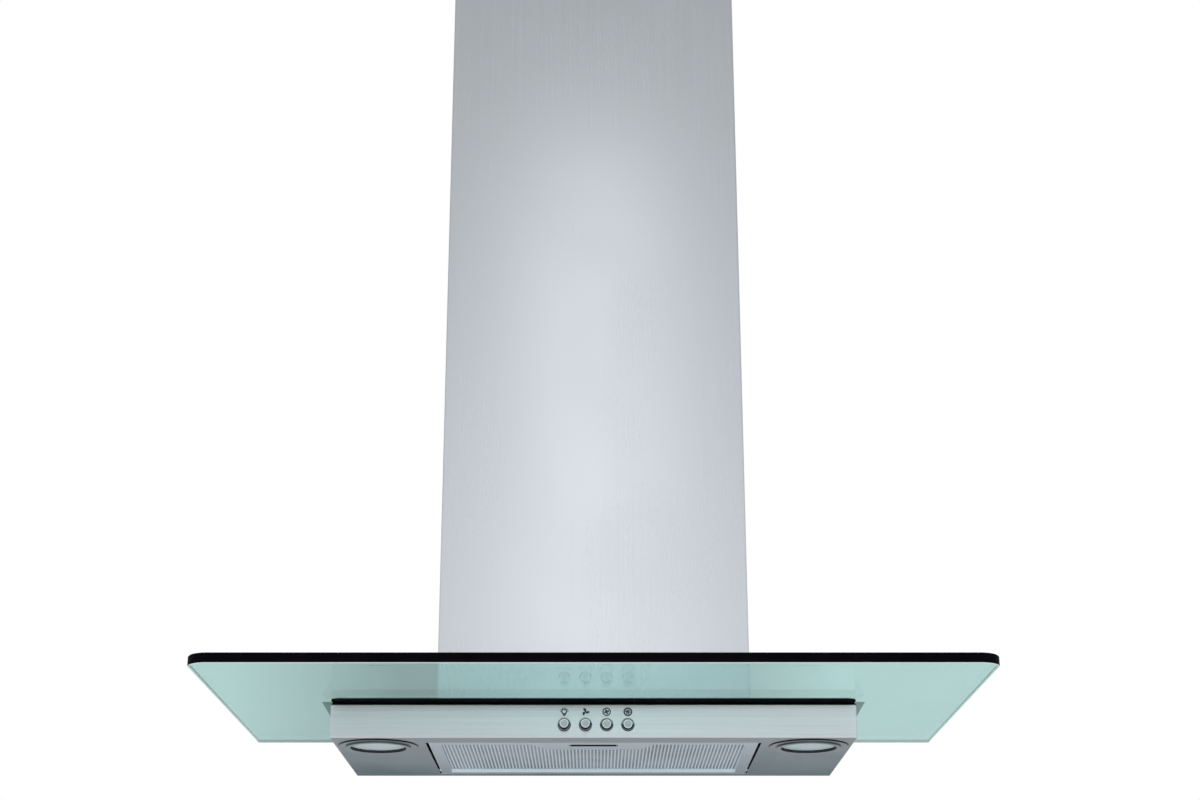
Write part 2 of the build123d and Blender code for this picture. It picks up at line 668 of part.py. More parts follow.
def lamp_transformer():
    """Low-voltage supply for the lamps, on the body's floor behind the right lamp."""
    x0 = LAMP_X - TRANSFORMER_W / 2
    y1 = LAMP_Y + LAMP_R + LAMP_EDGE + TRANSFORMER_L
    case = block(x0, x0 + TRANSFORMER_W, y1 - TRANSFORMER_L, y1, Z_FLOOR, Z_FLOOR + TRANSFORMER_H)
    return chamfer(case.edges().group_by(Axis.Z)[-1], BEND_R)


# Buttons

def button_places():
    """X of each push button, from left to right."""
    first = BUTTON_SHIFT - (BUTTON_COUNT - 1) / 2 * BUTTON_PITCH
    return [first + i * BUTTON_PITCH for i in range(BUTTON_COUNT)]


def button(index):
    """Round push button with its stem. The two on the left stand out, the two on the right are in."""
    x = button_places()[index]
    proud = BUTTON_OUT if index < BUTTON_COUNT / 2 else BUTTON_IN
    shift = BUTTON_OUT - proud
    back = BUTTON_BACK_Y + BUTTON_TAIL + shift
    cap = rod_y(BUTTON_R, x, -BODY_D - proud, back, BUTTON_Z)
    cap = fillet(cap.edges().group_by(Axis.Y)[0], BUTTON_EDGE)
    return cap + rod_y(STEM_R, x, back, back + STEM_L, BUTTON_Z)


def switch_block():
    """Moulded switch block behind the front panel, with one stepped bore for each button."""
    places = button_places()
    x0, x1 = places[0] - SWITCH_END, places[-1] + SWITCH_END
    y0, y1 = BUTTON_BACK_Y, BUTTON_BACK_Y + SWITCH_D
    case = block(x0, x1, y0, y1, BUTTON_Z - SWITCH_H / 2, BUTTON_Z + SWITCH_H / 2)
    case = chamfer(case.edges().group_by(Axis.Y)[-1], BEND_R)
    for x in places:
        case -= rod_y(BUTTON_R + BUTTON_GAP, x, y0 - 1, y0 + SWITCH_POCKET, BUTTON_Z)
        case -= rod_y(STEM_R + RUNNING_GAP, x, y0, y1 + 1, BUTTON_Z)
    return case


# Grease filter

def filter_window(margin, z0, z1):
    """Space inside the filter frame's bars, grown by a margin."""
    return wide_block(FILTER_W - 2 * (FILTER_BAR - margin), FILTER_Y0 + FILTER_FRONT_BAR - margin,
                      FILTER_Y1 - FILTER_BAR + margin, z0, z1)


def latch_box(margin, z0, z1):
    """Space of the latch and its travel behind the front bar, grown by a margin."""
    half = LATCH_W / 2 + FIT_GAP + margin
    y0 = FILTER_Y0 + FILTER_FRONT_BAR
    return block(-half, half, y0, y0 + LATCH_L + LATCH_TRAVEL + 2 * FIT_GAP + margin, z0, z1)


def latch_levels():
    """Lowest and highest level of the latch slide."""
    low = Z_UNDER + PLATE_RECESS + LATCH_WALL + FIT_GAP
    return low, low + LATCH_T


def finger_plate():
    """Recessed plate round the latch, narrower at its back with round corners, that covers the front ends of the ribs."""
    y0 = FILTER_Y0 + FILTER_FRONT_BAR
    y1 = y0 + PLATE_L
    outline = Polyline((-PLATE_FRONT_W / 2, y0), (PLATE_FRONT_W / 2, y0),
                       (PLATE_REAR_W / 2, y1), (-PLATE_REAR_W / 2, y1), close=True)
    plate = Pos(0, 0, Z_UNDER + PLATE_RECESS) * extrude(make_face(outline), FILTER_FACE_T - PLATE_RECESS)
    return fillet(plate.edges().filter_by(Axis.Z).group_by(Axis.Y)[-1], PLATE_R)


def sill_ramp():
    """Space under the sloping front of the rear sill, between the side bars."""
    y0, z0 = FILTER_Y1 - FILTER_BAR, Z_UNDER
    outline = Polyline((y0 - 1, z0 - 1), (y0 + FILTER_RECESS + 1, z0 - 1), (y0 - 1, z0 + FILTER_RECESS + 1), close=True)
    return extrude(Plane.YZ * make_face(outline), FILTER_W / 2 - FILTER_BAR, both=True)


def filter_frame():
    """Channel frame with a sloping sill behind the ribs, hinge pins at the back and the latch housing at the front."""
    z0, z1 = Z_UNDER, Z_UNDER + FILTER_T
    frame = wide_block(FILTER_W, FILTER_Y0, FILTER_Y1, z0, z1)
    frame = fillet(frame.edges().group_by(Axis.Z)[0], BEND_R / 2)
    frame -= filter_window(0, z0 - 1, z1 + 1)
    frame -= filter_window(FILTER_GROOVE, z0 + FILTER_RECESS, z1 - FILTER_FACE_T)
    sill_y, sill_z = FILTER_Y1 - FILTER_BAR, z0 + FILTER_RECESS
    sill_w = FILTER_W - 2 * (FILTER_BAR - FILTER_GROOVE)
    frame += wide_block(sill_w, sill_y, sill_y + FILTER_GROOVE, sill_z, sill_z + RIB_H)
    frame -= sill_ramp()
    low, high = latch_levels()
    frame += finger_plate()
    frame += latch_box(LATCH_WALL, z0 + PLATE_RECESS, high + FIT_GAP + LATCH_WALL)
    frame -= latch_box(0, low - FIT_GAP, high + FIT_GAP)
    slit_y = FILTER_Y0 + SLIT_SETBACK
    frame -= wide_block(SLIT_W, slit_y, slit_y + SLIT_L, z0 - 1, low)
    half = LATCH_TONGUE_W / 2 + FIT_GAP
    frame -= wide_block(2 * half, FILTER_Y0 - 1, FILTER_Y0 + FILTER_FRONT_BAR + 1, low - FIT_GAP, high + FIT_GAP)
    for side in (-1, 1):
        ends = sorted((side * (FILTER_W / 2 - 1), side * (FILTER_W / 2 + HINGE_L)))
        frame += rod_x(HINGE_R, *ends, HINGE_Y, HINGE_Z)
    return frame


def latch_clearance():
    """Hole in the ribs and the mesh round the latch housing and its tongue."""
    hole = latch_box(LATCH_WALL + FIT_GAP, Z_UNDER, Z_UNDER + FILTER_T)
    tongue_w = LATCH_TONGUE_W + 4 * FIT_GAP
    return hole + wide_block(tongue_w, FILTER_Y0, FILTER_Y0 + 2 * FILTER_FRONT_BAR, Z_UNDER, Z_UNDER + FILTER_T)


def filter_ribs():
    """Ribbed face sheet: a trapezoid wave of whole ribs across the width, carried from front to back."""
    z0 = Z_UNDER + FILTER_RECESS
    reach = FILTER_GROOVE - FIT_GAP
    width = FILTER_W - 2 * (FILTER_BAR - reach)
    count = round(width / RIB_PITCH)
    pitch = width / count
    wave = [(0.0, 0), (0.3, 0), (0.5, 1), (0.8, 1)]
    low_line = [((i + s) * pitch - width / 2, z0 + h * (RIB_H - RIB_SHEET)) for i in range(count) for s, h in wave]
    low_line.append((width / 2, z0))
    high_line = [(x, z + RIB_SHEET) for x, z in reversed(low_line)]
    section = Plane.XZ * make_face(Polyline(*low_line, *high_line, close=True))
    length = (FILTER_Y1 - FILTER_BAR) - (FILTER_Y0 + FILTER_FRONT_BAR - reach)
    sheet = Pos(0, FILTER_Y1 - FILTER_BAR, 0) * extrude(section, length)
    return sheet - latch_clearance()


def filter_mesh():
    """Pad of layered grease mesh above the ribs."""
    pad = filter_window(FILTER_GROOVE - FIT_GAP, Z_UNDER + FILTER_RECESS + RIB_H, Z_UNDER + FILTER_T - FILTER_FACE_T)
    return pad - latch_clearance()


def filter_latch():
    """Sprung slide with a finger grip above the slit and a tongue through the front bar."""
    low, high = latch_levels()
    y0 = FILTER_Y0 + FILTER_FRONT_BAR + FIT_GAP
    slide = wide_block(LATCH_W, y0, y0 + LATCH_L, low, high)
    slide += wide_block(LATCH_TONGUE_W, FILTER_Y0 - LATCH_TONGUE_OUT, y0 + 1, low, high)
    grip_y = FILTER_Y0 + SLIT_SETBACK + FIT_GAP
    return slide - wide_block(SLIT_W * 0.8, grip_y, grip_y + LATCH_GRIP_L, low - 1, low + LATCH_GRIP_D)


def filter_brackets():
    """Two hinge eyes on the body's floor that hold the filter's pins."""
    group = Part()
    inner = FILTER_W / 2 + FILTER_SIDE_GAP + HINGE_EYE_GAP
    for side in (-1, 1):
        ends = sorted((side * inner, side * (inner + HINGE_EYE_T)))
        eye = block(*ends, HINGE_Y - HINGE_EYE, HINGE_Y + HINGE_EYE, Z_FLOOR, HINGE_Z + HINGE_EYE)
        eye = fillet(eye.edges().filter_by(Axis.X).group_by(Axis.Z)[-1], HINGE_EYE * 0.6)
        group += eye - rod_x(HINGE_R + RUNNING_GAP, ends[0] - 1, ends[1] + 1, HINGE_Y, HINGE_Z)
    return group


def nodes():
    """Every piece under its node name."""
    pieces = {
        "glass_canopy": glass_canopy(),
        "glass_gasket": glass_gasket(),
        "glass_clamps": glass_clamps(),
        "clamp_screws": clamp_screws(),
        "body_shell": body_shell(),
        "top_plate": top_plate(),
        "plate_screws": plate_screws(),
        "lower_chimney": lower_chimney(),
        "upper_chimney": upper_chimney(),
        "ceiling_bracket": ceiling_bracket(),
        "chimney_screws": chimney_screws(),
        "motor_box": motor_box(),
        "motor_mount": motor_mount(),
        "fan_motor": fan_motor(),
        "motor_shaft": motor_shaft(),
        "impeller": impeller(),
        "capacitor": capacitor(),
        "terminal_box": terminal_box(),
        "cable_gland": cable_gland(),
        "outlet_collar": outlet_collar(),
        "flap_pin": flap_pin(),
        "lamp_transformer": lamp_transformer(),
        "switch_block": switch_block(),
        "filter_frame": filter_frame(),
        "filter_ribs": filter_ribs(),
        "filter_mesh": filter_mesh(),
        "filter_latch": filter_latch(),
        "filter_brackets": filter_brackets(),
        "flap_rear": flap(1),
        "flap_front": flap(-1),
    }
    for name, side in (("left", -1), ("right", 1)):
        pieces[f"support_lip_{name}"] = support_lip(side)
        pieces[f"scroll_{name}"] = scroll_half(side)
        pieces[f"lamp_ring_{name}"] = lamp_ring(side)
        pieces[f"lamp_lens_{name}"] = lamp_lens(side)
        pieces[f"lamp_cup_{name}"] = lamp_cup(side)
        pieces[f"lamp_bulb_{name}"] = lamp_bulb(side)
    for index in range(BUTTON_COUNT):
        pieces[f"button_{index + 1}"] = button(index)
    return pieces


os.makedirs("parts", exist_ok=True)
for node, piece in nodes().items():
    export_step(piece, f"parts/{node}.step")
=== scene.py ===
"""Looks of a wall-mounted range hood: brushed steel, tinted glass, round lamps, ribbed filter, push buttons.

Everything is in metres in the frame of the solids: +Z up, wall on Y = 0, front towards -Y.
"""
import json
from math import radians

import bmesh
import bpy
import numpy as np
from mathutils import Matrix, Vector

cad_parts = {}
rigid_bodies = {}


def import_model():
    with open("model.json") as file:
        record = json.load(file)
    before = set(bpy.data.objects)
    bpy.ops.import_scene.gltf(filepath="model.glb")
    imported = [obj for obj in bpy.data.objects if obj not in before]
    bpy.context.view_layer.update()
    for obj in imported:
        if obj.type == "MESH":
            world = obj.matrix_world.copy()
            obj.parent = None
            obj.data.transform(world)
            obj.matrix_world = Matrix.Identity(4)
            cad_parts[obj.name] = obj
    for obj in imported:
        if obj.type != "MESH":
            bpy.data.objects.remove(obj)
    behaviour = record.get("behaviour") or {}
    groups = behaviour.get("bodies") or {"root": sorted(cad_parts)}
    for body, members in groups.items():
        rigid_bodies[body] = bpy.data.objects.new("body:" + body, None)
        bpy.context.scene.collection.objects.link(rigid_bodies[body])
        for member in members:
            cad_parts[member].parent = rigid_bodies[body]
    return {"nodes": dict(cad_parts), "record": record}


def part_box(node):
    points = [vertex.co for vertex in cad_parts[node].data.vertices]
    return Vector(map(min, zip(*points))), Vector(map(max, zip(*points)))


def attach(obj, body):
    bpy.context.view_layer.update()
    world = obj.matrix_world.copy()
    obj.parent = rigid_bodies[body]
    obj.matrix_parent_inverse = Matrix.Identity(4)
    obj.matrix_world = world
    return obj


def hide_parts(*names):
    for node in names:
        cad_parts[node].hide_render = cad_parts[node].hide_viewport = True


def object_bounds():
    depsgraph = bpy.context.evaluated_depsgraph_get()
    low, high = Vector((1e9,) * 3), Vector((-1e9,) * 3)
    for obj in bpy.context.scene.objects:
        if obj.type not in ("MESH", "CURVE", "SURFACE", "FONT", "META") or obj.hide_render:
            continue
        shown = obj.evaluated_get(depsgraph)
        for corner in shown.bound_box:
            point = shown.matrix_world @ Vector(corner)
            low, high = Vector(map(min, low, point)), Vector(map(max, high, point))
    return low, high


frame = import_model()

solid_low, solid_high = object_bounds()
NODES = frame["nodes"]
glass_low, glass_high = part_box("glass_canopy")
panel_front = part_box("body_shell")[0].y


def button_axis(number):
    """Place across and height of a push button's axis."""
    low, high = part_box("button_%d" % number)
    return (low.x + high.x) / 2, (low.z + high.z) / 2


# Node helpers


def add(tree, kind, inputs=None, **settings):
    """Adds a node, sets its properties, then feeds its inputs with values or with other nodes' outputs."""
    node = tree.nodes.new("ShaderNode" + kind)
    for name, value in settings.items():
        setattr(node, name, value)
    for name, value in (inputs or {}).items():
        if isinstance(value, bpy.types.NodeSocket):
            tree.links.new(value, node.inputs[name])
        else:
            node.inputs[name].default_value = value
    return node


def colour_between(tree, factor, first, second):
    """Colour that goes from the first to the second with the factor."""
    return add(tree, "Mix", {0: factor, 6: first, 7: second}, data_type="RGBA").outputs[2]


def ranged(tree, value, low, high, to_low, to_high):
    """Value carried from one range to another and held at the ends."""
    return add(tree, "MapRange", {0: value, 1: low, 2: high, 3: to_low, 4: to_high}).outputs[0]


def reckon(tree, operation, first, second=0.0):
    """One step of arithmetic."""
    return add(tree, "Math", {0: first, 1: second}, operation=operation).outputs[0]


def times(tree, first, second):
    """Product of two values."""
    return reckon(tree, "MULTIPLY", first, second)


def axes(tree, vector):
    """X, Y and Z of a vector."""
    return add(tree, "SeparateXYZ", {0: vector}).outputs


def facing(tree):
    """X, Y and Z of the surface's normal."""
    return axes(tree, add(tree, "NewGeometry").outputs["Normal"])


def length_of(tree, vector):
    """Length of a vector."""
    return add(tree, "VectorMath", {0: vector}, operation="LENGTH").outputs["Value"]


def noise(tree, where, scale, detail, **more):
    """Grey noise at a scale, with other inputs of its node by name."""
    return add(tree, "TexNoise", {"Vector": where, "Scale": scale, "Detail": detail, **more}).outputs[0]


def stretched(tree, source, scale):
    """Coordinates scaled by a Mapping node."""
    return add(tree, "Mapping", {"Vector": source, "Scale": scale}).outputs[0]


def place(tree):
    """Object coordinates of the piece."""
    return add(tree, "TexCoord").outputs["Object"]


def bumped(tree, height, strength, distance):
    """Normal from a height."""
    return add(tree, "Bump", {"Height": height, "Strength": strength, "Distance": distance}).outputs[0]


def new_group(name, inputs, outputs):
    """Empty shader group with named sockets, and its two end nodes."""
    group = bpy.data.node_groups.new(name, "ShaderNodeTree")
    for socket, kind in inputs.items():
        group.interface.new_socket(socket, in_out="INPUT", socket_type="NodeSocket" + kind)
    for socket, kind in outputs.items():
        group.interface.new_socket(socket, in_out="OUTPUT", socket_type="NodeSocket" + kind)
    return group, group.nodes.new("NodeGroupInput").outputs, group.nodes.new("NodeGroupOutput").inputs


def effect(tree, group, where, **inputs):
    """Outputs of a shared effect, placed on coordinates with its own values."""
    return add(tree, "Group", {"Vector": where, **inputs}, node_tree=group).outputs


def new_finish(name, **plain):
    """Material with one Principled shader whose constant values are set on its own sockets."""
    material = bpy.data.materials.new(name)
    material.use_nodes = True
    shader = material.node_tree.nodes["Principled BSDF"]
    for socket, value in plain.items():
        shader.inputs[socket.replace("_", " ")].default_value = value
    return material, material.node_tree, shader.inputs


def feed(tree, sockets, **links):
    """Links outputs to a shader's sockets."""
    for name, output in links.items():
        tree.links.new(output, sockets[name.replace("_", " ")])


# Effects that several finishes share

SCALED = {"Vector": "Vector", "Scale": "Float"}


def make_brushed_lines():
    """Fine and broad noise on stretched coordinates, added up and set between 0 and 1."""
    lines = {"Line": "Float", "Height": "Float"}
    group, given, made = new_group("brushed_lines", {"Vector": "Vector"}, lines)
    fine = noise(group, given[0], 1.0, 6.0, Roughness=0.7)
    broad = noise(group, given[0], 0.13, 3.0, Roughness=0.6)
    both = reckon(group, "ADD", times(group, fine, 0.6), times(group, broad, 0.4))
    group.links.new(ranged(group, both, 0.33, 0.67, 0.0, 1.0), made[0])
    group.links.new(fine, made[1])
    return group


def make_handling_marks():
    """Broad soft patches of noise, as a hand or a cloth leaves them."""
    group, given, made = new_group("handling_marks", SCALED, {"Mask": "Float"})
    patch = noise(group, given[0], given[1], 3.0, Distortion=0.6)
    group.links.new(ranged(group, patch, 0.42, 0.66, 0.0, 1.0), made[0])
    return group


def make_moulded_grain():
    """Rounded cells for the height and soft noise for the tone, as a spark-eroded mould leaves them."""
    group, given, made = new_group("moulded_grain", SCALED, {"Height": "Float", "Tone": "Float"})
    cells = add(group, "TexVoronoi", {"Vector": given[0], "Scale": given[1]}, feature="SMOOTH_F1")
    tone = noise(group, given[0], 35.0, 4.0)
    group.links.new(cells.outputs["Distance"], made[0])
    group.links.new(ranged(group, tone, 0.3, 0.7, 0.0, 1.0), made[1])
    return group


def make_zinc_spangle():
    """Crystal cells with wavering borders, each with its own tone and a height that grows to its border."""
    group, given, made = new_group("zinc_spangle", SCALED, {"Tone": "Float", "Height": "Float"})
    waver = add(group, "TexNoise", {"Vector": given[0], "Scale": 60.0, "Detail": 2.0}).outputs["Color"]
    shift = add(group, "VectorMath", {0: waver, 3: 0.006}, operation="SCALE").outputs[0]
    moved = add(group, "VectorMath", {0: given[0], 1: shift}, operation="ADD").outputs[0]
    cells = add(group, "TexVoronoi", {"Vector": moved, "Scale": given[1]})
    tone = add(group, "SeparateColor", {0: cells.outputs["Color"]}).outputs[0]
    group.links.new(tone, made[0])
    group.links.new(cells.outputs["Distance"], made[1])
    return group


def make_turned_lines():
    """Noise along the distance from an axis, so that the lines run round it."""
    centred = {"Vector": "Vector", "Count": "Float"}
    group, given, made = new_group("turned_lines", centred, {"Line": "Float", "Height": "Float"})
    flat = add(group, "VectorMath", {0: given[0], 1: (1, 1, 0)}, operation="MULTIPLY").outputs[0]
    spread = times(group, length_of(group, flat), given[1])
    inputs = {"W": spread, "Scale": 1.0, "Detail": 3.0}
    rings = add(group, "TexNoise", inputs, noise_dimensions="1D").outputs[0]
    group.links.new(ranged(group, rings, 0.3, 0.7, 0.0, 1.0), made[0])
    group.links.new(rings, made[1])
    return group


def make_underside_shade():
    """Mask of painted shade on faces that look down, weaker in patches and weaker towards the front than by the
    wall.
    """
    sockets = {"Vector": "Vector", "Rise": "Float", "Depth": "Float", "Front": "Float"}
    group, given, made = new_group("painted_underside_shade", sockets, {"Mask": "Float"})
    down = ranged(group, given[1], -0.75, -0.95, 0, 1)
    patch = ranged(group, noise(group, given[0], 7.0, 4.0, Distortion=0.4), 0.35, 0.7, 0.88, 1)
    towards_wall = ranged(group, given[2], -0.25, -0.02, given[3], 1)
    group.links.new(times(group, down, times(group, patch, towards_wall)), made[0])
    return group


BRUSHED = make_brushed_lines()
TURNED = make_turned_lines()
UNDERSIDE_SHADE = make_underside_shade()
MARKS = make_handling_marks()
GRAIN = make_moulded_grain()
SPANGLE = make_zinc_spangle()

# Finishes

# Colour of the painted shade under faces that look down
UNDERSIDE_SHADE_TONE = (0.108, 0.168, 0.186, 1)
GROOVE_SHADE_TONE = (0.165, 0.20, 0.225, 1)
LENS_EDGE_SHADE_TONE = (0.02, 0.022, 0.025, 1)
HOLE_TONE = (0.05, 0.05, 0.05, 1)
LENS_OPENING = 0.034  # radius of the opening in a lamp's ring
LINE_DEPTH = 0.0002  # depth of the lines that a brush or a lathe leaves
BORDER = 0.0005  # width over which one tone of a turned piece goes into the next
FRONT_SHARE = 0.8  # share of the painted underside shade that reaches the front, where a finish gives none of its own
UNDERSIDE_SHADE_DULLING = 0.1  # roughness that the underside shade adds at full strength


def worn_gloss(tree, pattern, gloss, marks, swing, wear):
    """Roughness that follows a pattern by a swing to each side of the gloss, plus wear where the marks lie."""
    even = ranged(tree, pattern, 0, 1, gloss - swing, gloss + swing)
    return reckon(tree, "ADD", even, times(tree, marks, wear))


def shaded_underneath(tree, where, amount, front, colour, rough):
    """Lays painted shade over a colour where faces look down and dulls the gloss with it, with a share of it at
    the front.
    """
    mask = effect(tree, UNDERSIDE_SHADE, where, Rise=facing(tree)[2], Depth=axes(tree, where)[1], Front=front)[0]
    shade_amount = times(tree, mask, amount)
    duller = reckon(tree, "ADD", rough, times(tree, shade_amount, UNDERSIDE_SHADE_DULLING))
    return colour_between(tree, shade_amount, colour, UNDERSIDE_SHADE_TONE), duller


def brushed_metal(name, light, dark, stretch, gloss, strength, shade_amount=0, front=FRONT_SHARE, smear=0):
    """Metal brushed along the axis with the smallest stretch: lines in its colour, gloss and height, and soft
    marks. Smear draws reflections out across the lines of a piece brushed along X."""
    material, tree, sockets = new_finish(name, Metallic=1.0, Anisotropic=smear)
    where = place(tree)
    if smear:
        feed(tree, sockets, Tangent=add(tree, "Tangent", direction_type="RADIAL", axis="X").outputs[0])
    lines = effect(tree, BRUSHED, stretched(tree, where, stretch))
    marks = effect(tree, MARKS, where, Scale=3.0)[0]
    rough = worn_gloss(tree, lines[0], gloss, marks, swing=0.02, wear=0.03)
    colour = colour_between(tree, lines[0], dark, light)
    # Painted shade on faces that look down, with duller gloss there
    if shade_amount:
        colour, rough = shaded_underneath(tree, where, shade_amount, front, colour, rough)
    bump = bumped(tree, lines[1], strength, LINE_DEPTH)
    feed(tree, sockets, Base_Color=colour, Roughness=rough, Normal=bump)
    return material


def ribbed_sheet(name, light, dark):
    """Pressed rib sheet: bright where the ribs stand proud, with painted shade and duller gloss at the bottom
    of the grooves.
    """
    material, tree, sockets = new_finish(name, Metallic=1.0)
    where = place(tree)
    lines = effect(tree, BRUSHED, stretched(tree, where, (900, 6, 900)))
    marks = effect(tree, MARKS, where, Scale=14.0)[0]
    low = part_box("filter_ribs")[0].z
    groove_start, groove_end = low + 0.0002, low + 0.0011
    groove = ranged(tree, axes(tree, where)[2], groove_start, groove_end, 0, 1)
    # Painted shade at the bottom of the grooves, deeper where the marks lie
    groove_shade = times(tree, groove, ranged(tree, marks, 0, 1, 0.7, 0.95))
    metal = colour_between(tree, lines[0], dark, light)
    colour = colour_between(tree, groove_shade, metal, GROOVE_SHADE_TONE)
    rough = ranged(tree, groove_shade, 0, 1, 0.28, 0.42)
    feed(tree, sockets, Base_Color=colour, Roughness=rough, Normal=bumped(tree, lines[1], 0.01, LINE_DEPTH))
    return material


def from_lamps(tree, where):
    """Coordinates from the vertical axis of a lamp, on both sides of the hood at once."""
    low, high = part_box("lamp_ring_right")
    apart = axes(tree, where)
    across = reckon(tree, "SUBTRACT", reckon(tree, "ABSOLUTE", apart[0]), (low.x + high.x) / 2)
    along = reckon(tree, "SUBTRACT", apart[1], (low.y + high.y) / 2)
    return add(tree, "CombineXYZ", {0: across, 1: along}).outputs[0]


def from_buttons(tree, where):
    """Coordinates from the axis of the nearest push button, with the row's pitch repeated."""
    start, height = button_axis(1)
    pitch = button_axis(2)[0] - start
    apart = axes(tree, where)
    turns = reckon(tree, "DIVIDE", reckon(tree, "SUBTRACT", apart[0], start - pitch / 2), pitch)
    across = times(tree, reckon(tree, "SUBTRACT", reckon(tree, "FRACT", turns), 0.5), pitch)
    up = reckon(tree, "SUBTRACT", apart[2], height)
    return add(tree, "CombineXYZ", {0: across, 1: up}).outputs[0]


def beyond(tree, reach, start):
    """1 from a radius outwards, 0 inside it."""
    return ranged(tree, reach, start, start + BORDER, 0, 1)


def turned_metal(name, light, dark, centred, gloss, axis, wall_shades=(), tilt=0.8, rim=None, shade_amount=0, below=False):
    """Metal turned on a lathe: lines round an axis. Where they are given, a rim takes a painted highlight and
    the walls along the axis take painted shade, each from its radius outwards, the walls' only where they look
    down if below is set.
    The tilt is the cosine between a face's normal and the axis below which the face is a wall."""
    material, tree, sockets = new_finish(name, Metallic=1.0)
    where = place(tree)
    middle = centred(tree, where)
    lines = effect(tree, TURNED, middle, Count=2600.0)
    marks = effect(tree, MARKS, where, Scale=20.0)[0]
    rough = worn_gloss(tree, lines[0], gloss, marks, swing=0.03, wear=0.04)
    colour = colour_between(tree, lines[0], dark, light)
    # Painted shade on faces that look down, with duller gloss there
    if shade_amount:
        colour, rough = shaded_underneath(tree, where, shade_amount, FRONT_SHARE, colour, rough)
    normal = facing(tree)
    reach = length_of(tree, middle)
    # Painted highlight on the rim
    if rim:
        colour = colour_between(tree, beyond(tree, reach, rim[0]), colour, rim[1])
    # Painted shade on the walls, on those that look down only if below is set
    for start, tone in wall_shades:
        upright = ranged(tree, reckon(tree, "ABSOLUTE", normal[axis]), tilt - 0.05, tilt + 0.05, 1, 0)
        shown = times(tree, upright, beyond(tree, reach, start))
        if below:
            looking_down = ranged(tree, normal[2], 0.3, -0.1, 0, 1)
            shown = times(tree, shown, looking_down)
        colour = colour_between(tree, shown, colour, tone)
    feed(tree, sockets, Base_Color=colour, Roughness=rough, Normal=bumped(tree, lines[1], 0.05, LINE_DEPTH))
    return material


def woven_mesh(name):
    """Layered filter mesh that catches fat: two sets of crossed wires, each a sine without its sign, with dark
    holes between.
    """
    material, tree, sockets = new_finish(name, Metallic=1.0)
    where = place(tree)
    waves = 2200
    apart = axes(tree, stretched(tree, where, (waves, waves, waves)))
    across, along = [reckon(tree, "ABSOLUTE", reckon(tree, "SINE", way)) for way in apart[:2]]
    height = reckon(tree, "MAXIMUM", across, along)
    marks = effect(tree, MARKS, where, Scale=15.0)[0]
    wire = colour_between(tree, marks, (0.62, 0.64, 0.66, 1), (0.52, 0.53, 0.53, 1))
    colour = colour_between(tree, ranged(tree, height, 0.55, 0.8, 0, 1), HOLE_TONE, wire)
    rough = ranged(tree, marks, 0, 1, 0.36, 0.5)
    feed(tree, sockets, Base_Color=colour, Roughness=rough, Normal=bumped(tree, height, 0.6, 0.0004))
    return material


def zinc_sheet(name, light, dark, scale):
    """Zinc-coated sheet: crystal cells that differ in tone and gloss."""
    material, tree, sockets = new_finish(name, Metallic=1.0)
    where = place(tree)
    cells = effect(tree, SPANGLE, where, Scale=scale)
    marks = effect(tree, MARKS, where, Scale=9.0)[0]
    rough = worn_gloss(tree, cells[0], 0.4, marks, swing=0.1, wear=0.08)
    colour = colour_between(tree, cells[0], dark, light)
    feed(tree, sockets, Base_Color=colour, Roughness=rough, Normal=bumped(tree, cells[1], 0.08, 0.0005))
    return material


def moulded_plastic(name, light, dark, gloss, scale, strength):
    """Moulded plastic: grained skin with a little change of tone."""
    material, tree, sockets = new_finish(name)
    where = place(tree)
    skin = effect(tree, GRAIN, where, Scale=scale)
    marks = effect(tree, MARKS, where, Scale=12.0)[0]
    polish, wear = 0.05, 0.06
    rough = ranged(tree, marks, 0, 1, gloss - polish, gloss + wear)
    colour = colour_between(tree, skin[1], dark, light)
    feed(tree, sockets, Base_Color=colour, Roughness=rough, Normal=bumped(tree, skin[0], strength, 0.0003))
    return material


def tinted_plate():
    """Blue-green plate glass with ground, lighter chamfers on its rims. Its low index of refraction keeps the
    mirror image of what is below it weak."""
    material, tree, sockets = new_finish("tinted_glass", Transmission_Weight=1.0, IOR=1.1)
    where = place(tree)
    level = reckon(tree, "ABSOLUTE", facing(tree)[2])
    ground = times(tree, ranged(tree, level, 0.3, 0.5, 0, 1), ranged(tree, level, 0.85, 0.95, 1, 0))
    marks = effect(tree, MARKS, where, Scale=4.0)[0]
    body = colour_between(tree, marks, (0.51, 0.79, 0.75, 1), (0.53, 0.81, 0.77, 1))
    colour = colour_between(tree, ground, body, (0.72, 0.88, 0.86, 1))
    rough = reckon(tree, "ADD", times(tree, ground, 0.45), times(tree, marks, 0.012))
    feed(tree, sockets, Base_Color=colour, Roughness=rough)
    return material


def frosted_lens():
    """Pebbled lamp glass, frosted from behind, with painted shade in a thin ring round its edge."""
    material, tree, sockets = new_finish("frosted_lens", Transmission_Weight=0.35, IOR=1.45)
    where = place(tree)
    skin = effect(tree, GRAIN, where, Scale=700.0)
    # Painted shade in a thin ring at the edge of the lens, where it meets the lamp ring
    edge_shade_start, edge_shade_full = LENS_OPENING - 0.0009, LENS_OPENING - 0.0007
    edge_shade = ranged(tree, length_of(tree, from_lamps(tree, where)), edge_shade_start, edge_shade_full, 0, 1)
    glass = colour_between(tree, skin[1], (0.80, 0.94, 0.97, 1), (0.87, 0.99, 1.0, 1))
    colour = colour_between(tree, edge_shade, glass, LENS_EDGE_SHADE_TONE)
    rough = ranged(tree, skin[1], 0, 1, 0.3, 0.42)
    feed(tree, sockets, Base_Color=colour, Roughness=rough, Normal=bumped(tree, skin[0], 0.25, 0.0004))
    return material


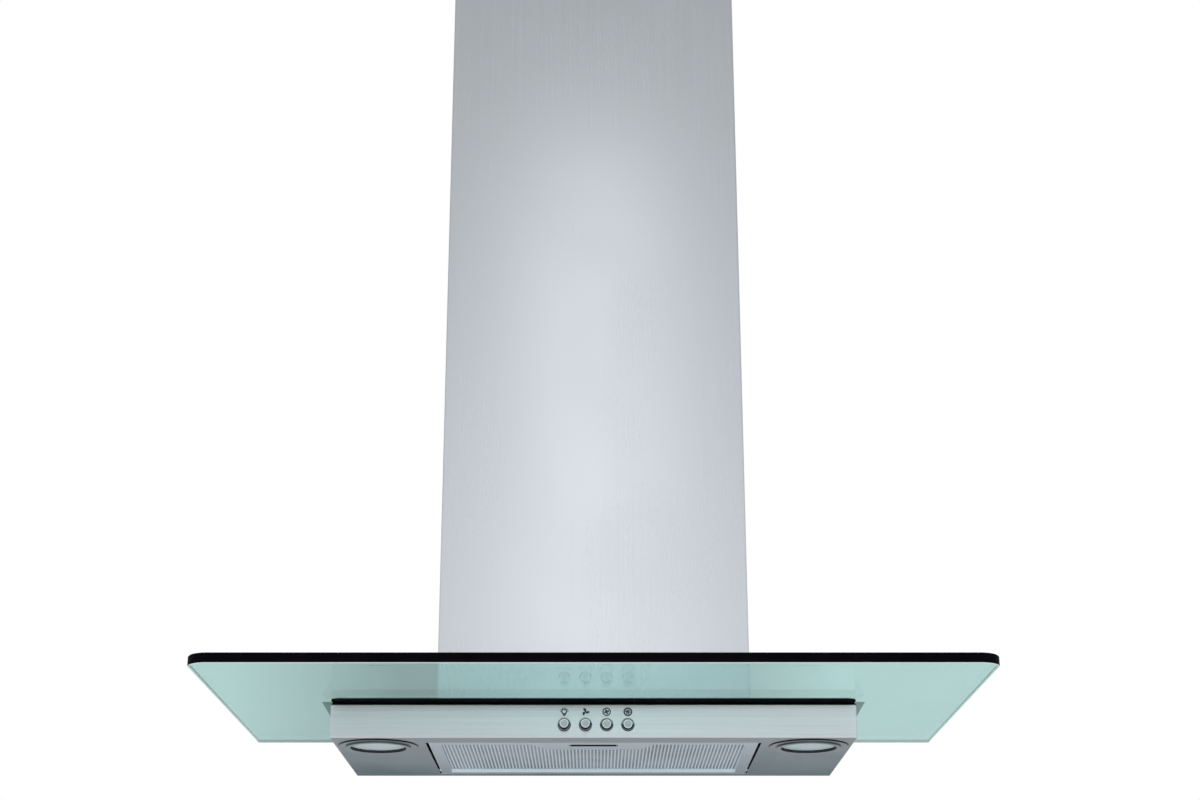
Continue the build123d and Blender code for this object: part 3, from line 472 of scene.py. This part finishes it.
# Each finish takes its light tone, then its dark one
steel_chimney = brushed_metal(
    "steel_chimney", (0.57, 0.597, 0.627, 1), (0.548, 0.574, 0.603, 1),
    stretch=(1600, 1600, 14), gloss=0.25, strength=0.015)
# Painted light: the body's steel is a brighter copy of the chimney's, to brighten the panel and underside under
# the glass
steel_body_lit_copy = brushed_metal(
    "steel_body_lit_copy", (0.86, 0.875, 0.905, 1), (0.69, 0.705, 0.735, 1),
    stretch=(9, 1100, 1100), gloss=0.36, strength=0.05, shade_amount=0.96, front=0.70, smear=0.8)
# Painted shade: the support lips take a darker, green-grey copy of the body's steel, as steel in shade under
# the glass
steel_lip_shaded_copy = brushed_metal(
    "steel_lip_shaded_copy", (0.30, 0.36, 0.34, 1), (0.25, 0.30, 0.285, 1),
    stretch=(9, 1100, 1100), gloss=0.32, strength=0.05, shade_amount=0.9)
aluminium = brushed_metal(
    "aluminium", (0.62, 0.65, 0.68, 1), (0.56, 0.59, 0.62, 1),
    stretch=(700, 700, 12), gloss=0.34, strength=0.04)
# Painted light: the filter frame takes a brighter, bluish copy of the aluminium, to brighten its ridge
filter_bar_lit_copy = brushed_metal(
    "filter_bar_lit_copy", (0.85, 0.95, 1.0, 1), (0.79, 0.88, 0.96, 1),
    stretch=(10, 900, 900), gloss=0.32, strength=0.03, shade_amount=0.84, front=0.52)
screw_steel = brushed_metal(
    "screw_steel", (0.60, 0.60, 0.57, 1), (0.48, 0.48, 0.47, 1),
    stretch=(500, 500, 500), gloss=0.28, strength=0.04)
rib_sheet = ribbed_sheet("rib_sheet", (0.745, 0.84, 0.93, 1), (0.695, 0.79, 0.875, 1))
lamp_cup = turned_metal(
    "lamp_cup", (0.80, 0.81, 0.82, 1), (0.72, 0.73, 0.74, 1), from_lamps, gloss=0.2, axis=2)
# Painted shade on the lamp rings' walls and steps: each radius from which it starts, then its tone
RING_WALL_SHADES = [
    (0.033, (0.055, 0.064, 0.068, 1)), (0.037, (0.15, 0.165, 0.175, 1)), (0.044, (0.015, 0.018, 0.02, 1)),
]
ring_metal = turned_metal(
    "ring_metal", (0.62, 0.64, 0.66, 1), (0.56, 0.58, 0.60, 1), from_lamps, gloss=0.3, axis=2,
    wall_shades=RING_WALL_SHADES, shade_amount=0.85)
# Painted highlight on the buttons' rims: the radius from which it starts, then its tone
BUTTON_RIM_HIGHLIGHT = (0.0041, (0.86, 0.88, 0.89, 1))
# Painted shade on the buttons' walls where they look down, from the axis outwards
BUTTON_WALL_SHADES = [(0.0, (0.03, 0.035, 0.04, 1))]
button_metal = turned_metal(
    "button_metal", (0.52, 0.53, 0.54, 1), (0.43, 0.44, 0.45, 1), from_buttons, gloss=0.3, axis=1,
    wall_shades=BUTTON_WALL_SHADES, tilt=0.85, rim=BUTTON_RIM_HIGHLIGHT, below=True)
galvanised = zinc_sheet("galvanised", (0.60, 0.62, 0.64, 1), (0.52, 0.54, 0.56, 1), scale=140.0)
black_plastic = moulded_plastic(
    "black_plastic", (0.03, 0.03, 0.032, 1), (0.018, 0.018, 0.02, 1), gloss=0.5, scale=1400.0, strength=0.2)
grey_plastic = moulded_plastic(
    "grey_plastic", (0.33, 0.34, 0.35, 1), (0.28, 0.29, 0.3, 1), gloss=0.48, scale=1200.0, strength=0.2)
white_plastic = moulded_plastic(
    "white_plastic", (0.80, 0.80, 0.78, 1), (0.74, 0.74, 0.72, 1), gloss=0.4, scale=1500.0, strength=0.08)
rubber = moulded_plastic(
    "rubber", (0.005, 0.005, 0.006, 1), (0.002, 0.002, 0.003, 1), gloss=0.8, scale=2200.0, strength=0.15)
# Painted shade: an almost black, barely shining copy of the black plastic, so that the slit in front of the
# latch reads dark
latch_shade_black = moulded_plastic(
    "latch_shade_black", (0.008, 0.01, 0.012, 1), (0.005, 0.006, 0.008, 1), gloss=0.6, scale=1200.0, strength=0.2)
motor_paint = moulded_plastic(
    "motor_paint", (0.09, 0.095, 0.1, 1), (0.06, 0.064, 0.068, 1), gloss=0.42, scale=500.0, strength=0.12)
print_ink = moulded_plastic(
    "print_ink", (0.035, 0.04, 0.045, 1), (0.02, 0.024, 0.03, 1), gloss=0.55, scale=3000.0, strength=0.05)
ground_glass = moulded_plastic(
    "ground_glass", (0.88, 0.95, 0.94, 1), (0.80, 0.88, 0.87, 1), gloss=0.5, scale=2600.0, strength=0.1)
# Painted shade: near-black colour for the dark look of the glass's front edge
painted_edge_shade = moulded_plastic(
    "painted_edge_shade", (0.003, 0.003, 0.005, 1), (0.0015, 0.0015, 0.003, 1),
    gloss=0.5, scale=900.0, strength=0.03)
tinted_glass = tinted_plate()
lens_glass = frosted_lens()
grease_mesh = woven_mesh("grease_mesh")

# These three hardly shine
for flat_black in (rubber, painted_edge_shade, latch_shade_black):
    flat_black.node_tree.nodes["Principled BSDF"].inputs["Specular IOR Level"].default_value = 0.02

BY_SLOT = {
    "steel": steel_chimney, "galvanised": galvanised, "screw_steel": screw_steel, "aluminium": aluminium,
    "tinted_glass": tinted_glass, "lens_glass": lens_glass, "rubber": rubber, "motor_metal": motor_paint,
    "black_plastic": black_plastic, "grey_plastic": grey_plastic, "white_plastic": white_plastic,
    "ring_metal": ring_metal, "button_metal": button_metal,
}
BY_NODE = {
    "body_shell": steel_body_lit_copy, "support_lip_left": steel_lip_shaded_copy, "support_lip_right": steel_lip_shaded_copy,
    "filter_frame": filter_bar_lit_copy, "filter_ribs": rib_sheet, "filter_mesh": grease_mesh,
    "filter_latch": latch_shade_black, "lamp_cup_left": lamp_cup, "lamp_cup_right": lamp_cup,
}


def dress(node, material):
    """Gives a solid its finish."""
    slots = NODES[node].data.materials
    slots.clear()
    slots.append(material)


for part in frame["record"]["subparts"]:
    dress(part["node"], BY_NODE.get(part["node"], BY_SLOT[part["material_slot"]]))

# New pieces

WELD = 1e-6
SHARP_ANGLE = radians(35)


def surface(name, grids, material, body, closed=False):
    """Piece from arrays of points, each rows by columns by three: one face between each four neighbours.
    Points that meet are welded, and a closed piece has its faces turned outwards."""
    points, faces, start = [], [], 0
    for grid in grids:
        index = start + np.arange(grid.shape[0] * grid.shape[1]).reshape(grid.shape[:2])
        corners = [index[:-1, :-1], index[:-1, 1:], index[1:, 1:], index[1:, :-1]]
        faces.append(np.stack(corners, axis=-1).reshape(-1, 4))
        points.append(grid.reshape(-1, 3))
        start += index.size
    mesh = bpy.data.meshes.new(name)
    mesh.from_pydata(np.concatenate(points).tolist(), [], np.concatenate(faces).tolist())
    shape = bmesh.new()
    shape.from_mesh(mesh)
    bmesh.ops.remove_doubles(shape, verts=shape.verts, dist=WELD)
    if closed:
        bmesh.ops.recalc_face_normals(shape, faces=shape.faces)
    shape.to_mesh(mesh)
    shape.free()
    mesh.shade_smooth()
    mesh.set_sharp_from_angle(angle=SHARP_ANGLE)
    mesh.materials.append(material)
    piece = bpy.data.objects.new(name, mesh)
    bpy.context.collection.objects.link(piece)
    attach(piece, body)
    return piece


def front_rim(insets, heights):
    """Grid along the glass's front outline, straight with two quarter-circle corners: one row for each inset
    and height."""
    radius, steps = 0.025, 24
    turn = np.linspace(0, np.pi / 2, steps + 1)
    reach = radius - np.asarray(insets)[:, None]
    across = glass_high.x - radius + reach * np.sin(turn)
    along = glass_low.y + radius - reach * np.cos(turn)
    right = np.stack([across, along], axis=-1)
    outline = np.concatenate([right[:, ::-1] * (-1, 1), right], axis=1)
    rise = np.broadcast_to(np.asarray(heights)[:, None, None], outline.shape[:2] + (1,))
    return np.concatenate([outline, rise], axis=-1)


def glass_rim():
    """Finish of the glass's front edge, 0.08 mm outside it. Each chamfer slopes from the edge to the plate's
    face. A pale ground strip lies on most of the lower one, and a black band of painted shade goes from there
    up the edge and over the upper one."""
    proud, chamfer, share = 0.00008, 0.0012, 0.75
    low, high, lean = glass_low.z, glass_high.z, proud / np.sqrt(2)
    border = ((1 - share) * chamfer - lean, low + share * chamfer - lean)
    insets = [border[0], -proud, -proud, -proud, -proud, chamfer - lean]
    heights = [border[1], *np.linspace(low + chamfer, high - chamfer, 4), high + lean]
    surface("edge_band", [front_rim(insets, heights)], painted_edge_shade, "hood")
    strip = front_rim([chamfer - lean, border[0]], [low - lean, border[1]])
    surface("ground_edge", [strip], ground_glass, "hood")


def lathe(profile, axis, steps):
    """Profile of radius and height carried round an upright axis."""
    turn = np.linspace(0, 2 * np.pi, steps + 1)
    radius = profile[:, :1]
    height = np.broadcast_to(profile[:, 1:], (len(profile), steps + 1))
    return np.stack([axis[0] + radius * np.cos(turn), axis[1] + radius * np.sin(turn), height], axis=-1)


def lathe_along_y(profile, number, start, steps):
    """Profile of radius and depth carried round a push button's axis, along Y from the start."""
    return lathe(profile + (0, start), button_axis(number), steps)[..., [0, 2, 1]]


def prism_lens(side):
    """Lamp lens: a flat disc whose lower face bulges by a parabola, with rings by a cosine of the radius."""
    low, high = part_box("lamp_lens_" + side)
    clearance, bulge, ring_height, pitch, steps = 0.0001, 0.0008, 0.00016, 0.0028, 96
    rim, opening = (high.x - low.x) / 2, LENS_OPENING - clearance
    radius = np.linspace(opening, 0, steps + 1)
    rings = ring_height * (0.5 - 0.5 * np.cos(2 * np.pi * radius / pitch))
    face = low.z - bulge * (1 - (radius / opening) ** 2) - rings
    plate = np.array([(0, high.z), (rim, high.z), (rim, low.z)])
    profile = np.concatenate([plate, np.stack([radius, face], axis=-1)])
    turned = lathe(profile, ((low.x + high.x) / 2, (low.y + high.y) / 2), steps)
    lens = surface("prism_lens_" + side, [turned], lens_glass, "hood", closed=True)
    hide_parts("lamp_lens_" + side)


def knob(number, body):
    """Push button turned about an axis along Y: a face dished by a parabola, a rim rounded by an arc, a flank
    that widens backwards to the head's full width, then the straight barrel and the stem behind it."""
    low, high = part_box("button_%d" % number)
    barrel, head, face, stem = (high.x - low.x) / 2, 0.007, 0.005, 0.003
    dish_depth, rim_radius, rim_arc, head_edge = 0.00018, 0.0005, 1.25, 0.0003
    head_start, head_crest, head_end, barrel_start, barrel_end = 0.0027, 0.0031, 0.0036, 0.0038, 0.016
    back, points = high.y - low.y, 9
    reach = np.linspace(0, face, points)
    arc = np.linspace(0, rim_arc, points)
    dish = np.stack([reach, dish_depth * (1 - (reach / face) ** 2)], axis=-1)
    rim = np.stack([face + rim_radius * np.sin(arc), rim_radius * (1 - np.cos(arc))], axis=-1)
    rest = np.array([
        (head - head_edge, head_start), (head, head_crest), (head - head_edge, head_end),
        (barrel, barrel_start), (barrel, barrel_end), (stem, barrel_end), (stem, back), (0, back),
    ])
    turned = lathe_along_y(np.concatenate([dish, rim[1:], rest]), number, low.y, steps=48)
    piece = surface("knob_%d" % number, [turned], button_metal, body, closed=True)
    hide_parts("button_%d" % number)


def collar(number):
    """Ring round a button on the front panel, turned about an axis along Y: a flat rim that slopes back to
    the panel."""
    inner, crest, outer, thick = 0.00645, 0.0071, 0.008, 0.0009
    profile = np.array([(inner, 0), (inner, -thick), (crest, -thick), (outer, 0), (inner, 0)])
    turned = lathe_along_y(profile, number, panel_front, steps=64)
    # The collar takes the buttons' finish: the painted highlight of their rims on its face, and their painted
    # shade on its slope where it looks down
    surface("collar_%d" % number, [turned], button_metal, "hood", closed=True)


def finger_bar():
    """Pull bar of the latch: a rectangle with rounded corners, four quarter circles, carried along X from end
    to end and closed at both. It hangs under the slide in the front of the slit, and clears the slit over the
    latch's travel."""
    frame_low, slide_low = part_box("filter_frame")[0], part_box("filter_latch")[0]
    half, setback, depth, hang, corner, steps = 0.0275, 0.015, 0.004, 0.001, 0.0006, 32
    bottom, top = frame_low.z - hang, slide_low.z
    middle_y, middle_z = frame_low.y + setback + depth / 2, (bottom + top) / 2
    turn = np.linspace(0, 2 * np.pi, steps + 1) + np.pi / steps
    along = middle_y + (depth / 2 - corner) * np.sign(np.cos(turn)) + corner * np.cos(turn)
    up = middle_z + ((top - bottom) / 2 - corner) * np.sign(np.sin(turn)) + corner * np.sin(turn)
    section = np.stack([along, up], axis=-1)
    tip = np.broadcast_to((middle_y, middle_z), section.shape)
    rows = [(-half, tip), (-half, section), (half, section), (half, tip)]
    grid = np.stack([np.concatenate([np.full((steps + 1, 1), x), row], axis=-1) for x, row in rows])
    surface("finger_bar", [grid], latch_shade_black, "latch", closed=True)


# Printed marks

MM = 0.001
INK_THICKNESS = 0.05 * MM
MARK_RISE = 15.5 * MM


def flat_on_panel(across, up, middle):
    """Points set on the front panel, the ink's thickness in front of it."""
    front = np.full(across.shape, panel_front - INK_THICKNESS)
    return np.stack([middle[0] + across, front, middle[1] + up], axis=-1)


def ring_mark(inner, outer, middle):
    """Flat ring between two radii."""
    steps = 48
    radius, turn = np.meshgrid([outer, inner], np.linspace(0, 2 * np.pi, steps + 1), indexing="ij")
    return flat_on_panel(radius * np.cos(turn), radius * np.sin(turn), middle)


def blade_mark(angle, sweep, inner, outer, half, middle):
    """Flat blade: its centreline leans over by the sweep from the inner to the outer radius, and its half
    width follows most of a half sine along it."""
    root, tip, rows, columns = 0.12, 0.92, 13, 5
    along, side = np.meshgrid(np.linspace(0, 1, rows), np.linspace(1, -1, columns), indexing="ij")
    radius = inner + (outer - inner) * along
    width = half * np.sin(np.pi * (root + (tip - root) * along))
    turn = angle + sweep * along + side * width / radius
    return flat_on_panel(radius * np.cos(turn), radius * np.sin(turn), middle)


def bar_mark(half, bottom, top, middle):
    """Flat rectangle."""
    across, up = np.meshgrid([-half, half], [bottom, top])
    return flat_on_panel(across, up, middle)


def bulb_mark(middle):
    """Bulb: a ring for the glass, two bars for the cap, and seven rays over the upper half."""
    glass = ring_mark(inner=2.1 * MM, outer=3.6 * MM, middle=middle)
    cap = bar_mark(half=2.0 * MM, bottom=-4.2 * MM, top=-3.2 * MM, middle=middle)
    foot = bar_mark(half=1.4 * MM, bottom=-5.4 * MM, top=-4.4 * MM, middle=middle)
    ray = {"sweep": 0, "inner": 4.0 * MM, "outer": 5.1 * MM, "half": 0.65 * MM, "middle": middle}
    rays = [blade_mark(angle, **ray) for angle in np.linspace(0, np.pi, 7)]
    return [glass, cap, foot] + rays


def fan_mark(blades, reach, rim, middle):
    """Fan: leaning blades spread evenly round a hub, with a ring round them where its radii are given."""
    sweep, inner, half = 0.5, 0.9 * MM, 5.2 * MM / blades
    angles = np.pi / 2 + 2 * np.pi * np.arange(blades) / blades
    grids = [blade_mark(angle, sweep, inner, reach, half, middle) for angle in angles]
    grids.append(ring_mark(inner=0.05 * MM, outer=0.95 * MM, middle=middle))
    if rim:
        grids.append(ring_mark(rim[0], rim[1], middle))
    return grids


def button_marks():
    """Printed marks above the buttons: a bulb, then a fan with more blades for each speed."""
    spots = [(across, up + MARK_RISE) for across, up in map(button_axis, (1, 2, 3, 4))]
    raised = (spots[0][0], spots[0][1] + 0.4 * MM)
    surface("mark_light", bulb_mark(raised), print_ink, "hood")
    surface("mark_low", fan_mark(3, 4.9 * MM, None, spots[1]), print_ink, "hood")
    surface("mark_middle", fan_mark(4, 3.3 * MM, (3.7 * MM, 5.1 * MM), spots[2]), print_ink, "hood")
    surface("mark_high", fan_mark(6, 3.3 * MM, (3.5 * MM, 5.3 * MM), spots[3]), print_ink, "hood")


glass_rim()
prism_lens("left")
prism_lens("right")
for number, body in ((1, "light_button"), (2, "low_button"), (3, "middle_button"), (4, "high_button")):
    knob(number, body)
    collar(number)
button_marks()
finger_bar()

# The glass over the panel shows no second image of the small pieces below it
small_pieces = [NODES["support_lip_left"], NODES["support_lip_right"]]
small_pieces += [piece for piece in bpy.data.objects if piece.name.startswith(("collar_", "mark_"))]
for piece in small_pieces:
    piece.visible_glossy = False

# Stage, light and camera


def pale_floor():
    """Plain pale floor well below the hood: a flat disc."""
    height, radius, steps = -1.15, 40, 64
    mesh = bpy.data.meshes.new("floor")
    turn = np.linspace(0, 2 * np.pi, steps, endpoint=False)
    rim = np.stack([radius * np.cos(turn), radius * np.sin(turn), np.full(steps, height)], axis=-1)
    mesh.from_pydata(rim.tolist(), [], [tuple(range(steps))])
    material, tree, sockets = new_finish("floor_paint", Roughness=0.9)
    marks = effect(tree, MARKS, place(tree), Scale=0.7)[0]
    feed(tree, sockets, Base_Color=colour_between(tree, marks, (0.86, 0.86, 0.86, 1), (0.88, 0.88, 0.88, 1)))
    mesh.materials.append(material)
    floor = bpy.data.objects.new("floor", mesh)
    bpy.context.collection.objects.link(floor)


# Light of the air by height, from straight down at 0 to straight up at 1, and its strength by side
AIR = [(0.0, 0.3), (0.49, 0.42), (0.52, 0.52), (0.60, 0.51), (0.68, 0.37), (0.78, 0.275), (1.0, 0.36)]
AIR_IN_FRONT, AIR_BEHIND, AIR_STRAIGHT_BEHIND = 2.0, 1.7, 0.85
AIR_TINT = (0.97, 0.985, 1.0, 1)
# What is straight behind lies a little left of the middle, and the front goes over into the back
STRAIGHT_MIDDLE, STRAIGHT_HALF, STRAIGHT_END = -0.03, 0.07, 0.155
FRONT_END, BACK_START = 0.2, 0.6


def studio_air():
    """White backdrop as seen by the camera, and a softer, slightly cool light all round, weaker from behind
    and weakest straight behind the hood."""
    world = bpy.data.worlds.new("studio")
    bpy.context.scene.world = world
    world.use_nodes = True
    tree = world.node_tree
    tree.nodes.clear()
    way = axes(tree, add(tree, "TexCoord").outputs["Generated"])
    ramp = add(tree, "ValToRGB", {0: ranged(tree, way[2], -1, 1, 0, 1)})
    stops = ramp.color_ramp.elements
    positions, tones = zip(*AIR)
    for position in positions[1:-1]:
        stops.new(position)
    for stop, tone in zip(stops, tones):
        stop.color = (tone, tone, tone, 1)
    aside = reckon(tree, "ABSOLUTE", reckon(tree, "SUBTRACT", way[0], STRAIGHT_MIDDLE))
    behind = ranged(tree, aside, STRAIGHT_HALF, STRAIGHT_END, AIR_STRAIGHT_BEHIND, AIR_BEHIND)
    by_side = ranged(tree, way[1], FRONT_END, BACK_START, AIR_IN_FRONT, behind)
    strength = times(tree, ramp.outputs[0], by_side)
    around = add(tree, "Background", {"Color": AIR_TINT, "Strength": strength}).outputs[0]
    seen = add(tree, "Background", {"Color": (1, 1, 1, 1), "Strength": 1.0}).outputs[0]
    which = add(tree, "LightPath").outputs["Is Camera Ray"]
    both = add(tree, "MixShader", {0: which, 1: around, 2: seen}).outputs[0]
    add(tree, "OutputWorld", {"Surface": both})


# Soft lights: width and height, place, watts
LIGHTS = {
    "front_box": ((0.3, 1.9), (0.0, -3.2, 1.1), 2.3),
    "left_box": ((1.0, 0.5), (-0.75, -3.2, -0.5), 0.5),
    "right_box": ((1.1, 0.5), (0.82, -3.2, -0.45), 2.2),
    "top_box": ((3.0, 2.0), (0.0, -0.6, 3.2), 40.0),
}


def soft_box(name, size, spot, watts):
    """Rectangular soft light that faces the middle of the hood."""
    data = bpy.data.lights.new(name, "AREA")
    data.shape, data.energy = "RECTANGLE", watts
    data.size, data.size_y = size
    lamp = bpy.data.objects.new(name, data)
    lamp.location = spot
    aim = (solid_low + solid_high) / 2
    lamp.rotation_euler = (aim - lamp.location).to_track_quat("-Z", "Y").to_euler()
    bpy.context.collection.objects.link(lamp)


def photo_camera():
    """Camera in front of the hood and a little below it, tilted up."""
    away, below, tilt = 2.081, 0.452, 18.95
    data = bpy.data.cameras.new("camera")
    data.sensor_width, data.lens = 36.0, 58.0
    data.shift_x, data.shift_y = 0.0054, 0.03
    camera = bpy.data.objects.new("camera", data)
    camera.location = (0.0, glass_low.y - away, glass_low.z - below)
    camera.rotation_euler = (radians(90 + tilt), 0, 0)
    bpy.context.collection.objects.link(camera)
    bpy.context.scene.camera = camera


pale_floor()
studio_air()
for name, (size, spot, watts) in LIGHTS.items():
    soft_box(name, size, spot, watts)
photo_camera()
bpy.context.scene.view_settings.view_transform = "Standard"
